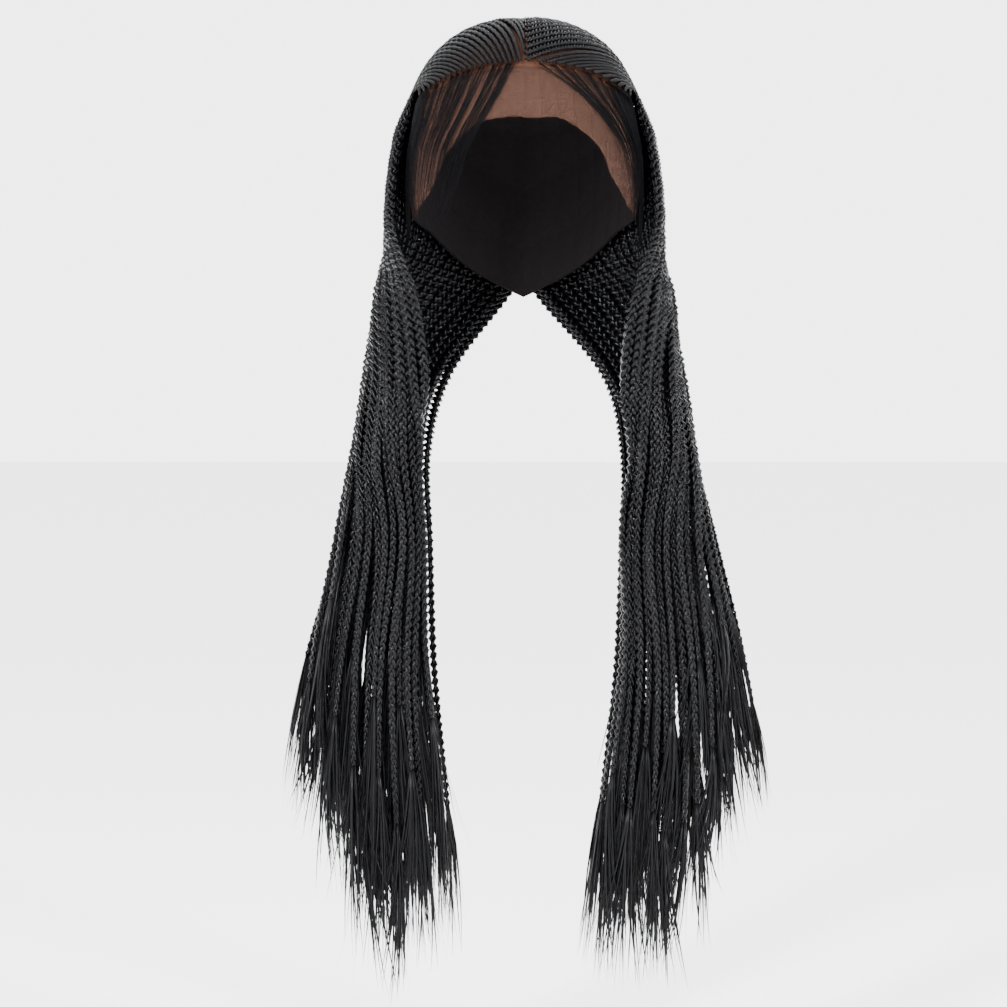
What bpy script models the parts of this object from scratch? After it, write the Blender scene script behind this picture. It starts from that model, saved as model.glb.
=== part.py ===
"""A long braided lace wig, as worn: a hollow net cap, a lace front, cornrows on the cap,
braids that hang from it in two curtains and end in loose tassels, and swept hairline locks.

Metres, +Z up. The wearer faces -Y, and +X is the wearer's left. The origin is the inside of
the crown, where the top of a head carries the cap.
"""

import math

import bmesh
import bpy
from mathutils import Vector

# The head that the cap fits. The braids leave the nape at NAPE_SHARE of its height.
HEAD_HALF_WIDTH = 0.081
HEAD_HALF_LENGTH = 0.097
CROWN_HEIGHT = 0.095
NAPE_HEIGHT = 0.150
NAPE_SHARE = 0.63
HEAD_SQUARENESS = 2.3

# Walls and clearances
CAP_WALL = 0.002
LACE_WALL = 0.001
SEAT_GAP = 0.0011
SEAM_GAP = 0.0004

# Cornrows. The front share of a side's rows starts on the hairline, at azimuths in degrees
# and closer together for a crowding under 1. The others leave the parting. All of them bow
# towards one line of places, and on the left they are first led back over the crown.
ROWS_PER_SIDE = 18
ROW_HEIGHT = 0.0050
ROW_VALLEY = 0.0018
PARTING_GAP = 0.0024
HAIRLINE_MARGIN = 0.0030
FRONT_ROW_SHARE = {"left": 0.55, "right": 0.38}
FRONT_ROW_AZIMUTHS = (70, 3)
FRONT_ROW_CROWDING = {"left": 0.8, "right": 1.0}
PARTING_BACK = 66.0
ROW_BOW = dict(azimuth=(60, 120), polar=48, weight=0.3)
ROW_LEAD = dict(aside=0.04, spread=1.5, back=0.25, up=0.95, power=1.5)
LEAD_WEIGHT = {"left": 0.6, "right": 0.0}

# Hanging braids. The inset is a share of the room that one braid has on its weft.
BRAID_THICKNESS = 0.0054
BRAID_GAP = 0.0014
WEFT_HEIGHT = 0.0080
WEFT_WALL = 0.0022
WEFT_INSET = 0.25
TASSEL_TIP = 0.0011
TASSEL_FULLNESS = dict(at_tie=0.72, swell=1.1, taper=1.9)
ROOT_DEPTH = 0.0023

# Curtains, which take up what the head leaves of the hair's length below the crown
HAIR_LENGTH = 0.6955
NAPE_LEVEL = -(CROWN_HEIGHT + NAPE_SHARE * NAPE_HEIGHT)
CURTAIN_DROP = HAIR_LENGTH + NAPE_LEVEL
CURTAIN_REACH = 0.160
CURTAIN_FRONT = 0.085

# Swept hairline locks
EDGE_LOCKS_PER_SIDE = 6
EDGE_RIDGE = 0.0017
EDGE_VALLEY = 0.0008
EDGE_ROOT_GAP = 0.0030
EDGE_SEAT_GAP = 0.0009
EDGE_LIFT = 0.0060

# How finely each kind of piece is divided
CAP_AROUND = 36
CAP_DOWN = 8
LACE_AROUND = 18
LACE_DOWN = 4
ROW_STEPS = 8
STEPS_PER_RING = 2
CURVED_RINGS = 5
TASSEL_STEPS = 3
LOCK_SIDES = 5
EDGE_STEPS = 9
OVAL_STEPS = 240
HALVINGS = 30
PATH_NUDGE = 0.01

# Edges of cap and lace, as polar angles in degrees from the crown at each azimuth from the
# front. The lace ends where both angles meet.
HEAD_EDGE_COLUMNS = ("azimuth", "cap", "lace")
HEAD_EDGES = (
    (0, 52.5, 77),
    (20, 54, 78),
    (38, 57, 87),
    (50, 61, 94.5),
    (63, 65.5, 99.5),
    (76, 71, 102),
    (85, 84, 103),
    (93, 100, 104),
    (120, 106, 106),
    (150, 118, 118),
    (180, 127, 127),
)

# Rings that the braids pass through on the head, from the temple end to the nape end.
# Azimuths and polar angles are degrees, and layers are braid thicknesses above the cap.
HEAD_RINGS = (
    dict(azimuth=(79, 177), polar=(66, 85), layers=(0.6, 0.5)),
    dict(azimuth=(77, 177), polar=(84, 101), layers=(1.3, 0.9)),
    dict(azimuth=(73, 177), polar=(103, 116), layers=(2.9, 1.2)),
)

# Rings below the head are flattened ovals, centred on each side. Angles run from the oval's
# front through its outer side. At the nape, lengths are shares of the head's half sizes.
NAPE_RING = dict(side=0.26, half_side=1.01, front=-0.06, half_front=0.90, angles=(42, 187))
# Lower down, drops are shares of CURTAIN_DROP, sides of CURTAIN_REACH and fronts of
# CURTAIN_FRONT.
CURTAIN_RINGS = (
    dict(drop=0.11, side=0.40, half_side=0.28, front=0.00, half_front=0.72, angles=(5, 192)),
    dict(drop=0.22, side=0.580, half_side=0.150, front=0.34, half_front=0.50, angles=(-50, 236)),
    dict(drop=0.34, side=0.620, half_side=0.190, front=0.70, half_front=0.30, angles=(-78, 257)),
    dict(drop=0.52, side=0.672, half_side=0.265, front=0.80, half_front=0.27, angles=(-78, 258)),
    dict(drop=0.74, side=0.675, half_side=0.350, front=0.83, half_front=0.27, angles=(-78, 258)),
    dict(drop=1.00, side=0.620, half_side=0.350, front=0.84, half_front=0.24, angles=(-78, 258)),
)

# Where braids end and tassels come to a point, as shares of CURTAIN_DROP, against how far
# out on the oval a braid hangs, from its inner side at 0 to its outer side at 1.
END_COLUMNS = ("outward", "braid_end", "tip")
ENDS = {
    "left": ((0.0, 0.68, 0.90), (0.3, 0.69, 0.96), (0.5, 0.67, 0.95), (0.75, 0.57, 0.82), (1.0, 0.50, 0.69)),
    "right": ((0.0, 0.72, 0.96), (0.3, 0.73, 0.96), (0.5, 0.70, 0.92), (0.75, 0.61, 0.81), (1.0, 0.53, 0.70)),
}
END_STAGGER = 0.035
STAGGER_TURN = 2.4

# Paths of the innermost and outermost hairline lock, as azimuth and polar angle in degrees,
# in even steps from the root, which lies along the cap's edge, to the tip. Lifts are shares
# of EDGE_LIFT. The left side is swept further over the brow.
EDGE_ROOT = (4, 66)
EDGE_SWEEP = {
    "left": (
        dict(inner=(13, 70), outer=(69, 80), lift=0.15),
        dict(inner=(24, 86), outer=(70, 90), lift=0.30),
        dict(inner=(35, 99), outer=(70, 100), lift=0.55),
        dict(inner=(46, 110), outer=(68, 112), lift=1.0),
    ),
    "right": (
        dict(inner=(22, 63), outer=(69, 80), lift=0.15),
        dict(inner=(38, 76), outer=(70, 90), lift=0.30),
        dict(inner=(52, 89), outer=(70, 100), lift=0.55),
        dict(inner=(61, 106), outer=(68, 114), lift=1.0),
    ),
}
# How far along its path a lock is whole, and how far it reaches
EDGE_NOTCH = 0.60
EDGE_STAGGER = 0.10

SIDES = {"left": -1.0, "right": 1.0}
DARK_HAIR = dict(colour=(0.012, 0.012, 0.014), roughness=0.42)
CAP_NET = dict(colour=(0.020, 0.017, 0.016), roughness=0.80)
BROWN_LACE = dict(colour=(0.33, 0.20, 0.14), roughness=0.70)


def between(first, last, share):
    return first + (last - first) * share


def table_value(rows, key, column):
    """Value of a column at a key, along a smooth curve through a table whose first column rises."""
    keys = [row[0] for row in rows]
    key = min(max(key, keys[0]), keys[-1])
    place = next(i for i in range(len(keys) - 1) if key <= keys[i + 1])
    low, high = rows[place], rows[place + 1]
    share = (key - low[0]) / (high[0] - low[0])
    slopes = []
    for i in (place, place + 1):
        before, after = rows[max(i - 1, 0)], rows[min(i + 1, len(rows) - 1)]
        slopes.append((after[column] - before[column]) / (after[0] - before[0]))
    return hermite(low[column], high[column], slopes[0], slopes[1], share, high[0] - low[0])


def hermite(low, high, slope_low, slope_high, share, width=1.0):
    """Cubic through two values with given slopes; it works on numbers and on vectors."""
    square, cube = share * share, share**3
    return (
        low * (2 * cube - 3 * square + 1)
        + slope_low * ((cube - 2 * square + share) * width)
        + high * (3 * square - 2 * cube)
        + slope_high * ((cube - square) * width)
    )


def edge_polar(azimuth, name):
    return table_value(HEAD_EDGES, abs(azimuth), HEAD_EDGE_COLUMNS.index(name))


def head_point(azimuth, polar, lift):
    """Point over the head: a superellipsoid, higher below its widest level than above it."""
    power = 2 / HEAD_SQUARENESS
    turn, tilt = math.radians(azimuth), math.radians(polar)
    radius = max(math.sin(tilt), 0.0) ** power
    height = CROWN_HEIGHT if tilt <= math.pi / 2 else NAPE_HEIGHT
    rise = math.copysign(abs(math.cos(tilt)) ** power, math.cos(tilt))
    across, along = radius * math.sin(turn), -radius * math.cos(turn)
    flare = max(radius, 1e-6) ** (HEAD_SQUARENESS - 2)
    normal = Vector(
        (
            across * flare / HEAD_HALF_WIDTH,
            along * flare / HEAD_HALF_LENGTH,
            math.copysign(abs(rise) ** (HEAD_SQUARENESS - 1), rise) / height,
        )
    ).normalized()
    point = Vector((HEAD_HALF_WIDTH * across, HEAD_HALF_LENGTH * along, height * rise - CROWN_HEIGHT))
    return point + normal * lift


def head_over(direction, lift):
    """Point over the head that a direction from its middle names, so that a path can cross the crown."""
    unit = direction.normalized()
    polar = math.degrees(math.acos(max(-1.0, min(1.0, unit.z))))
    return head_point(math.degrees(math.atan2(unit.x, -unit.y)), polar, lift)


def direction_of(azimuth, polar):
    turn, tilt = math.radians(azimuth), math.radians(polar)
    return Vector((math.sin(tilt) * math.sin(turn), -math.sin(tilt) * math.cos(turn), math.cos(tilt)))


def degrees_for(length):
    """About how many degrees of polar angle a length on the head covers."""
    return math.degrees(length / CROWN_HEIGHT)


def material(name, colour, roughness):
    made = bpy.data.materials.new(name)
    made.use_nodes = True
    shader = made.node_tree.nodes["Principled BSDF"]
    shader.inputs["Base Color"].default_value = (*colour, 1.0)
    shader.inputs["Roughness"].default_value = roughness
    shader.inputs["Metallic"].default_value = 0.0
    return made


def new_object(name, points, faces, collection, finish):
    mesh = bpy.data.meshes.new(name)
    mesh.from_pydata([tuple(point) for point in points], [], faces)
    mesh.materials.append(finish)
    mesh.shade_smooth()
    obj = bpy.data.objects.new(name, mesh)
    collection.objects.link(obj)
    return obj


def grid_faces(rows, columns, closed_around=False):
    """Quads of a grid of points stored row by row."""
    last = columns if closed_around else columns - 1
    return [
        (here + c, below + c, below + (c + 1) % columns, here + (c + 1) % columns)
        for here, below in ((row * columns, (row + 1) * columns) for row in range(rows - 1))
        for c in range(last)
    ]


def solidified(obj, wall):
    """An open surface on the head, thickened outwards."""
    shell = obj.modifiers.new("wall", "SOLIDIFY")
    shell.thickness = wall
    shell.offset = 1.0
    shell.use_even_offset = True
    return obj


def build_cap(collection, finish):
    """The net cap: a dome on the head from the crown down to its edge."""
    points = [head_point(0, 0, 0)]
    for ring in range(1, CAP_DOWN + 1):
        for step in range(CAP_AROUND):
            azimuth = 360 * step / CAP_AROUND
            edge = edge_polar(180 - abs(azimuth - 180), "cap")
            points.append(head_point(azimuth, edge * ring / CAP_DOWN, 0))
    faces = [(0, 1 + s, 1 + (s + 1) % CAP_AROUND) for s in range(CAP_AROUND)]
    faces += [tuple(1 + i for i in face) for face in grid_faces(CAP_DOWN, CAP_AROUND, closed_around=True)]
    return solidified(new_object("wig_cap", points, faces, collection, finish), CAP_WALL)


def build_lace(collection, finish):
    """The lace front: a strip over forehead and temples, from the cap's edge down to its own."""
    end = LACE_AROUND / 2 * 360 / CAP_AROUND
    points = []
    for row in range(LACE_DOWN + 1):
        for step in range(LACE_AROUND + 1):
            azimuth = between(-end, end, step / LACE_AROUND)
            top = edge_polar(azimuth, "cap") + degrees_for(SEAM_GAP)
            top_clear = top + degrees_for(SEAM_GAP) * abs(azimuth) / end
            low = max(edge_polar(azimuth, "lace"), top_clear + degrees_for(LACE_WALL))
            points.append(head_point(azimuth, between(top_clear, low, row / LACE_DOWN), 0))
    faces = grid_faces(LACE_DOWN + 1, LACE_AROUND + 1)
    return solidified(new_object("lace_front", points, faces, collection, finish), LACE_WALL)


def row_start(side, share):
    """Direction in which a cornrow starts: along the hairline from the temple, then along the parting."""
    margin = degrees_for(HAIRLINE_MARGIN)
    front = FRONT_ROW_SHARE[side]
    if share < front:
        azimuth = between(*FRONT_ROW_AZIMUTHS, (share / front) ** FRONT_ROW_CROWDING[side])
        return direction_of(azimuth, edge_polar(azimuth, "cap") - margin)
    along = (share - front) / (1 - front)
    tilt = math.radians(between(-(edge_polar(0, "cap") - margin), PARTING_BACK, along))
    aside = PARTING_GAP / 2 / HEAD_HALF_WIDTH
    return Vector((aside, math.sin(tilt), math.cos(tilt)))


def drop_place(share):
    """Azimuth and polar angle of the line where cornrows leave the cap and braids begin to hang."""
    ring = HEAD_RINGS[0]
    return between(*ring["azimuth"], share), between(*ring["polar"], share)


def row_direction(side, share, along):
    """Direction of a cornrow between the start line and the drop line, as a curve with one control."""
    azimuth, polar = drop_place(share)
    first = row_start(side, share).normalized()
    last = direction_of(azimuth, polar - degrees_for(SEAM_GAP + SEAT_GAP / 2))
    bow = direction_of(between(*ROW_BOW["azimuth"], share), ROW_BOW["polar"])
    bowed = (first + last).normalized() * (1 - ROW_BOW["weight"]) + bow * ROW_BOW["weight"]
    front = FRONT_ROW_SHARE[side]
    nearness = min(share / front, (1 - share) / (1 - front))
    lead = Vector((ROW_LEAD["aside"] + ROW_LEAD["spread"] * first.x, ROW_LEAD["back"], ROW_LEAD["up"]))
    middle = bowed.lerp(lead, LEAD_WEIGHT[side] * nearness ** ROW_LEAD["power"])
    return first * (1 - along) ** 2 + middle * (2 * along * (1 - along)) + last * along**2


def ridged_shell(name, locks, steps, point_at, collection, finish):
    """Closed shell over the head, in ridges with valleys between.

    point_at(share, along, ridge, outer) gives a point of its outer or inner face.
    """
    columns, rows = 2 * locks + 1, steps + 1
    points = [
        point_at(column / (columns - 1), step / steps, column % 2 == 1, outer)
        for outer in (True, False)
        for step in range(rows)
        for column in range(columns)
    ]
    offset = rows * columns
    face = grid_faces(rows, columns)
    faces = face + [tuple(i + offset for i in reversed(corners)) for corners in face]
    rim = list(range(columns))
    rim += [row * columns + columns - 1 for row in range(1, rows)]
    rim += [(rows - 1) * columns + column for column in range(columns - 2, -1, -1)]
    rim += [row * columns for row in range(rows - 2, 0, -1)]
    faces += [(a, b, b + offset, a + offset) for a, b in zip(rim, rim[1:] + rim[:1], strict=True)]
    obj = new_object(name, points, faces, collection, finish)
    face_outwards(obj)


def build_cornrows(side, collection, finish):
    """The plaited rows of one side, which sit on the cap."""

    def point_at(share, along, ridge, outer):
        height = (ROW_HEIGHT if ridge else ROW_VALLEY) if outer else 0
        spot = head_over(row_direction(side, share, along), CAP_WALL + SEAT_GAP + height)
        return Vector((spot.x * SIDES[side], spot.y, spot.z))

    ridged_shell("cornrows_" + side, ROWS_PER_SIDE, ROW_STEPS, point_at, collection, finish)


def face_outwards(obj):
    shape = bmesh.new()
    shape.from_mesh(obj.data)
    bmesh.ops.recalc_face_normals(shape, faces=shape.faces)
    shape.to_mesh(obj.data)
    shape.free()


def oval_shares(ring, half_side, half_front):
    """Angles of evenly spaced places along a ring's arc, by its running length."""
    first, last = (math.radians(angle) for angle in ring["angles"])
    angles = [between(first, last, i / OVAL_STEPS) for i in range(OVAL_STEPS + 1)]
    lengths = [0.0]
    for here, there in zip(angles, angles[1:], strict=False):
        middle = (here + there) / 2
        step = math.hypot(half_side * math.cos(middle), half_front * math.sin(middle))
        lengths.append(lengths[-1] + step * (there - here))
    return angles, [length / lengths[-1] for length in lengths]


def oval_angle(table, share):
    angles, shares = table
    place = next((i for i in range(len(shares) - 1) if share <= shares[i + 1]), len(shares) - 2)
    part = (share - shares[place]) / (shares[place + 1] - shares[place])
    return between(angles[place], angles[place + 1], part)


def make_rings():
    """Every ring as a function from share, temple end 0 to nape end 1, to a point on the +X side."""
    rings = []
    for ring in HEAD_RINGS:

        def on_head(share, ring=ring):
            lift = CAP_WALL + SEAT_GAP + between(*ring["layers"], share) * BRAID_THICKNESS
            return head_point(between(*ring["azimuth"], share), between(*ring["polar"], share), lift)

        rings.append(on_head)
    ovals = [(NAPE_RING, HEAD_HALF_WIDTH, HEAD_HALF_LENGTH, NAPE_LEVEL)]
    for ring in CURTAIN_RINGS:
        ovals.append((ring, CURTAIN_REACH, CURTAIN_FRONT, NAPE_LEVEL - ring["drop"] * CURTAIN_DROP))
    for ring, wide, deep, level in ovals:
        half_side, half_front = ring["half_side"] * wide, ring["half_front"] * deep
        table = oval_shares(ring, half_side, half_front)

        def on_oval(share, ring=ring, wide=wide, deep=deep, level=level, table=table):
            angle = oval_angle(table, share)
            across = ring["side"] * wide + ring["half_side"] * wide * math.sin(angle)
            along = -ring["front"] * deep - ring["half_front"] * deep * math.cos(angle)
            return Vector((across, along, level))

        rings.append(on_oval)
    return rings


def curtain_point(rings, share, place):
    """Point of a hanging braid: share says which braid, place runs from ring to ring."""
    last = len(rings) - 1
    place = min(max(place, 0.0), last)
    low = min(int(place), last - 1)
    points = [rings[i](share) for i in range(max(low - 1, 0), min(low + 2, last) + 1)]
    here = points[1 if low > 0 else 0]
    there = points[2 if low > 0 else 1]
    slope_here = (there - points[0]) / 2 if low > 0 else there - here
    slope_there = (points[-1] - here) / 2 if low < last - 1 else there - here
    return hermite(here, there, slope_here, slope_there, place - low)


def place_at_height(rings, share, height):
    """Where along its rings a braid reaches a height, found by halving."""
    low, high = float(len(HEAD_RINGS) - 1), float(len(rings) - 1)
    for _ in range(HALVINGS):
        middle = (low + high) / 2
        if curtain_point(rings, share, middle).z > height:
            low = middle
        else:
            high = middle
    return low


def outwardness(share, rings):
    """How far out a braid hangs where the curtain is widest, 0 at its inner side and 1 at its outer side."""
    ring = CURTAIN_RINGS[3]
    across = rings[len(HEAD_RINGS) + 4](share).x / CURTAIN_REACH
    return (across - (ring["side"] - ring["half_side"])) / (2 * ring["half_side"])


def lock_section(centre, across, along, half_width, half_thickness):
    """Points of a lock's oval section, square to its path."""
    side = (across - along * across.dot(along)).normalized()
    out = side.cross(along).normalized()
    return [
        centre
        + side * (half_width * math.cos(math.tau * i / LOCK_SIDES))
        + out * (half_thickness * math.sin(math.tau * i / LOCK_SIDES))
        for i in range(LOCK_SIDES)
    ]


def add_lock(points, faces, sections):
    """A closed lock lofted through its sections, added to one mesh's points and faces."""
    start = len(points)
    for section in sections:
        points.extend(section)
    rows = len(sections)
    faces += [tuple(start + i for i in face) for face in grid_faces(rows, LOCK_SIDES, closed_around=True)]
    faces.append(tuple(start + i for i in range(LOCK_SIDES)))
    last = start + (rows - 1) * LOCK_SIDES
    faces.append(tuple(last + i for i in reversed(range(LOCK_SIDES))))


def lock_along(path, pitch, places, width_of, sign):
    """Sections of one lock at places along a path; path(offset, place) moves sideways with offset."""
    sections = []
    for place in places:
        centre = path(0.0, place)
        along = (path(0.0, place + PATH_NUDGE) - path(0.0, place - PATH_NUDGE)).normalized()
        across = (path(pitch / 2, place) - path(-pitch / 2, place)) / pitch
        clear = (across - along * across.dot(along)).length * pitch
        half_width, half_thickness = width_of(place, (clear - BRAID_GAP) / 2)
        section = lock_section(centre, across, along, half_width, half_thickness)
        sections.append([Vector((p.x * sign, p.y, p.z)) for p in section])
    return sections


def braid_lock(rings, side, index):
    """One hanging braid with its tassel: even width down to its tie, then full, then to a point."""
    share = (index + 0.5) / ROWS_PER_SIDE
    outward = outwardness(share, rings)
    stagger = END_STAGGER * math.sin(STAGGER_TURN * index + SIDES[side])
    ends = [table_value(ENDS[side], outward, END_COLUMNS.index(name)) for name in END_COLUMNS[1:]]
    heights = [NAPE_LEVEL - (end + stagger) * CURTAIN_DROP for end in ends]
    tie, tip = (place_at_height(rings, share, height) for height in heights)

    def path(offset, place):
        return curtain_point(rings, share + offset, place)

    def width_of(place, half_width):
        half_thickness = BRAID_THICKNESS / 2
        if place <= tie:
            return half_width, half_thickness
        gone = (place - tie) / (tip - tie)
        swollen = TASSEL_FULLNESS["at_tie"] + TASSEL_FULLNESS["swell"] * gone
        tapered = TASSEL_FULLNESS["taper"] * (1 - gone) + TASSEL_TIP / (2 * half_thickness)
        fullness = min(1.0, swollen, tapered)
        return half_width * fullness, half_thickness * fullness

    root = degrees_for(ROOT_DEPTH) / (HEAD_RINGS[1]["polar"][0] - HEAD_RINGS[0]["polar"][0])
    steps = [i / STEPS_PER_RING for i in range(1, STEPS_PER_RING * CURVED_RINGS + 1)]
    steps += range(CURVED_RINGS + 1, len(rings))
    places = [root] + [place for place in steps if place < tie - 1 / (2 * STEPS_PER_RING)]
    places += [between(tie, tip, i / TASSEL_STEPS) for i in range(TASSEL_STEPS + 1)]
    pitch = 1 / ROWS_PER_SIDE
    return lock_along(path, pitch, places, width_of, SIDES[side])


def band_on_head(line, shares, inner, wall, height, sign):
    """Closed band on the cap along a line of (azimuth, polar) places, from its upper edge down."""
    points = []
    for share in shares:
        azimuth, polar = line(share)
        low = polar + degrees_for(height)
        for angle, lift in ((polar, inner), (polar, inner + wall), (low, inner + wall), (low, inner)):
            spot = head_point(azimuth, angle, lift)
            points.append(Vector((spot.x * sign, spot.y, spot.z)))
    faces = grid_faces(len(shares), 4, closed_around=True)
    faces.append((0, 1, 2, 3))
    faces.append(tuple(len(points) - 4 + i for i in (3, 2, 1, 0)))
    return points, faces


def fused(name, band, locks, collection, helpers, finish):
    """One body from a root band and the locks that hang from it."""
    root = new_object(name, *band, collection, finish)
    face_outwards(root)
    points, faces = [], []
    for sections in locks:
        add_lock(points, faces, sections)
    strands = new_object(name + "_locks", points, faces, helpers, finish)
    face_outwards(strands)
    strands.hide_render = True
    strands.display_type = "WIRE"
    join = root.modifiers.new("locks", "BOOLEAN")
    join.operation = "UNION"
    join.object = strands
    join.solver = "EXACT"
    return root


def build_braids(rings, side, collection, helpers, finish):
    """The hanging braids of one side, as a front group over the ear and a back group behind it."""
    half = ROWS_PER_SIDE // 2
    groups = {"side_braids_": range(0, half), "back_braids_": range(half, ROWS_PER_SIDE)}
    inset = WEFT_INSET / ROWS_PER_SIDE
    for group, indices in groups.items():
        ends = indices[0] / ROWS_PER_SIDE + inset, (indices[-1] + 1) / ROWS_PER_SIDE - inset
        shares = [between(*ends, i / (2 * len(indices))) for i in range(2 * len(indices) + 1)]
        band = band_on_head(drop_place, shares, CAP_WALL + SEAT_GAP, WEFT_WALL, WEFT_HEIGHT, SIDES[side])
        locks = [braid_lock(rings, side, index) for index in indices]
        fused(group + side, band, locks, collection, helpers, finish)


def edge_place(side, share, place):
    """Azimuth, polar angle and lift of a hairline lock, smoothly through its stations."""
    azimuth = between(*EDGE_ROOT, share)
    stations = [(0, azimuth, edge_polar(azimuth, "cap") + degrees_for(EDGE_ROOT_GAP), 0.0)]
    for row in EDGE_SWEEP[side]:
        azimuth, polar = (between(row["inner"][i], row["outer"][i], share) for i in (0, 1))
        stations.append((len(stations), azimuth, polar, row["lift"]))
    key = place * (len(stations) - 1)
    return tuple(table_value(stations, key, column) for column in (1, 2, 3))


def build_edge_hair(side, collection, finish):
    """Hairline locks of one side, whole at the root and parted lower down, over the lace."""

    def point_at(share, along, ridge, outer):
        lock = round(share * EDGE_LOCKS_PER_SIDE - 0.5)
        reach = 1 - EDGE_STAGGER * (lock % 2) if ridge else EDGE_NOTCH
        azimuth, polar, lift = edge_place(side, share, along * reach)
        height = (EDGE_RIDGE if ridge else EDGE_VALLEY) if outer else 0
        spot = head_point(azimuth, polar, LACE_WALL + EDGE_SEAT_GAP + lift * EDGE_LIFT + height)
        return Vector((spot.x * SIDES[side], spot.y, spot.z))

    ridged_shell("edge_hair_" + side, EDGE_LOCKS_PER_SIDE, EDGE_STEPS, point_at, collection, finish)


def main():
    for old in list(bpy.data.objects):
        bpy.data.objects.remove(old)
    scene = bpy.context.scene
    wig = bpy.data.collections.new("braid_wig")
    helpers = bpy.data.collections.new("helpers")
    scene.collection.children.link(wig)
    scene.collection.children.link(helpers)
    hair = material("dark_hair", **DARK_HAIR)
    net = material("cap_net", **CAP_NET)
    lace = material("brown_lace", **BROWN_LACE)
    build_cap(wig, net)
    build_lace(wig, lace)
    rings = make_rings()
    for side in SIDES:
        build_cornrows(side, wig, hair)
        build_braids(rings, side, wig, helpers, hair)
        build_edge_hair(side, wig, hair)


main()
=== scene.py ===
# %% [markdown]
# # A long braided lace wig
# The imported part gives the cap, the lace front and the outer form of the hair as plain locks.
# This file dresses it: real three-strand plaits, loose tassels, hairline hair and sheer net.
# Every shape is a function on a grid of numbers, worked out with numpy as whole arrays.

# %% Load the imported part
import math

import bpy
import numpy as np
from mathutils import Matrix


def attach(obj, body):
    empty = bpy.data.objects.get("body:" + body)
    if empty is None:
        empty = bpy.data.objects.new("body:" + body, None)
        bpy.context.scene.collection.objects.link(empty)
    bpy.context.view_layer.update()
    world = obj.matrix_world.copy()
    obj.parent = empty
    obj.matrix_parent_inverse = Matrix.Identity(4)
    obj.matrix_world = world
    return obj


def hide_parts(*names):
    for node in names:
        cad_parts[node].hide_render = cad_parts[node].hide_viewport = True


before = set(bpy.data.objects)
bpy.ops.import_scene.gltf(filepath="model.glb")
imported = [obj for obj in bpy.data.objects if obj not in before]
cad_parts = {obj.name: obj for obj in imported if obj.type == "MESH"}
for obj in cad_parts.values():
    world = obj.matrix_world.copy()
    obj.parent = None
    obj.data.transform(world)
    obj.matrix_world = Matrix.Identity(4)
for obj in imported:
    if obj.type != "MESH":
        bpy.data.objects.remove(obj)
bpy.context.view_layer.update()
print("nodes:", ", ".join(sorted(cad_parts)))

# %% [markdown]
# ## Camera first
# A product photograph of a wig is taken from straight in front with a long lens, a little
# above mid height. The camera is placed by one number, the millimetres that a pixel covers at
# the middle of the head, because that sets the lens for any distance.

# %% The camera
PHOTO_PIXELS = 1007
MM_PER_PIXEL = 0.72
CAMERA_DISTANCE = 2.2
CAMERA_TILT = math.radians(4.0)
LOOK_AT = np.array([-0.0148, 0.0, -0.3400])
SENSOR_MM = 36.0


def add_object(name, data):
    """A new object at the origin, linked to the scene."""
    made = bpy.data.objects.new(name, data)
    bpy.context.scene.collection.objects.link(made)
    return made


camera_data = bpy.data.cameras.new("studio_camera")
camera_data.sensor_width = SENSOR_MM
camera_data.lens = SENSOR_MM * CAMERA_DISTANCE / (MM_PER_PIXEL / 1000 * PHOTO_PIXELS)
camera = add_object("studio_camera", camera_data)
camera.location = LOOK_AT + CAMERA_DISTANCE * np.array([0.0, -math.cos(CAMERA_TILT), math.sin(CAMERA_TILT)])
camera.rotation_euler = (math.pi / 2 - CAMERA_TILT, 0.0, 0.0)
bpy.context.scene.camera = camera
print("lens", round(camera_data.lens, 1), "mm")

# %% [markdown]
# ## The sizes that the hair follows
# The wig is one thing in two tools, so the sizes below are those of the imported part: the head
# that the cap fits, the edges of cap and lace, and the rings that the hair passes through.

# %% Sizes of the head and the curtains, in metres and degrees
HEAD_HALF_WIDTH, HEAD_HALF_LENGTH = 0.081, 0.097
CROWN_HEIGHT, NAPE_HEIGHT, HEAD_SQUARENESS = 0.095, 0.150, 2.3
CAP_WALL, LACE_WALL, SEAT_GAP, CLEARANCE = 0.002, 0.001, 0.0011, 0.0004
BRAID_THICKNESS, HAIR_LENGTH, NAPE_SHARE = 0.0054, 0.6955, 0.63
NAPE_LEVEL = -(CROWN_HEIGHT + NAPE_SHARE * NAPE_HEIGHT)
CURTAIN_DROP, CURTAIN_REACH, CURTAIN_FRONT = HAIR_LENGTH + NAPE_LEVEL, 0.160, 0.085
SIDES = {"left": -1.0, "right": 1.0}

# Columns: azimuth from the front, then the polar angle of the cap's and the lace's edge
HEAD_EDGES = np.array(
    [
        (0, 52.5, 77),
        (20, 54, 78),
        (38, 57, 87),
        (50, 61, 94.5),
        (63, 65.5, 99.5),
        (76, 71, 102),
        (85, 84, 103),
        (93, 100, 104),
        (120, 106, 106),
        (150, 118, 118),
        (180, 127, 127),
    ]
)
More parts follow.
